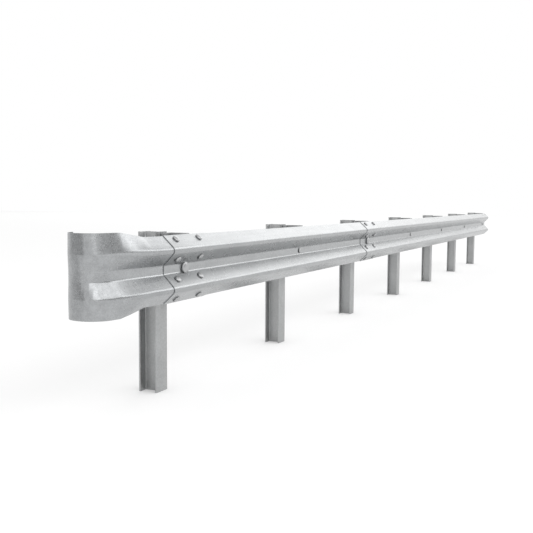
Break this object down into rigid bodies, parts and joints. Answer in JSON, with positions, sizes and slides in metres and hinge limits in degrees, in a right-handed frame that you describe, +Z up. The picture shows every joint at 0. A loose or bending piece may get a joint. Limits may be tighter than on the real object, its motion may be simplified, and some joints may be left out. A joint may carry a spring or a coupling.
{
  "type": "highway guardrail with terminal end",
  "caption": "W-beam steel guardrail on H-section posts with channel spacers, lapped splices and a flared, rolled-back end terminal",
  "frame": {"origin": "centre of the first post's foot, at ground level", "axes": "+X runs along the rail away from the terminal, +Y points from the rail to the posts, away from the traffic, +Z up"},
  "size_m": [9.8839, 0.2779, 0.8066],
  "materials": {
    "rail": "hot-dip galvanized, semi-gloss",
    "terminal": "hot-dip galvanized, semi-gloss",
    "post": "hot-dip galvanized, matt mottled",
    "spacer": "hot-dip galvanized, matt mottled"
  },
  "bodies": {
    "root": {"terminal_end": "terminal", "rail_panel_1": "rail", "rail_panel_2": "rail", "post_1": "post", "post_2": "post", "post_3": "post", "post_4": "post", "post_5": "post", "post_6": "post", "post_7": "post", "spacer_1": "spacer", "spacer_2": "spacer", "spacer_3": "spacer", "spacer_4": "spacer", "spacer_5": "spacer", "spacer_6": "spacer", "spacer_7": "spacer"}
  },
  "joints": []
}
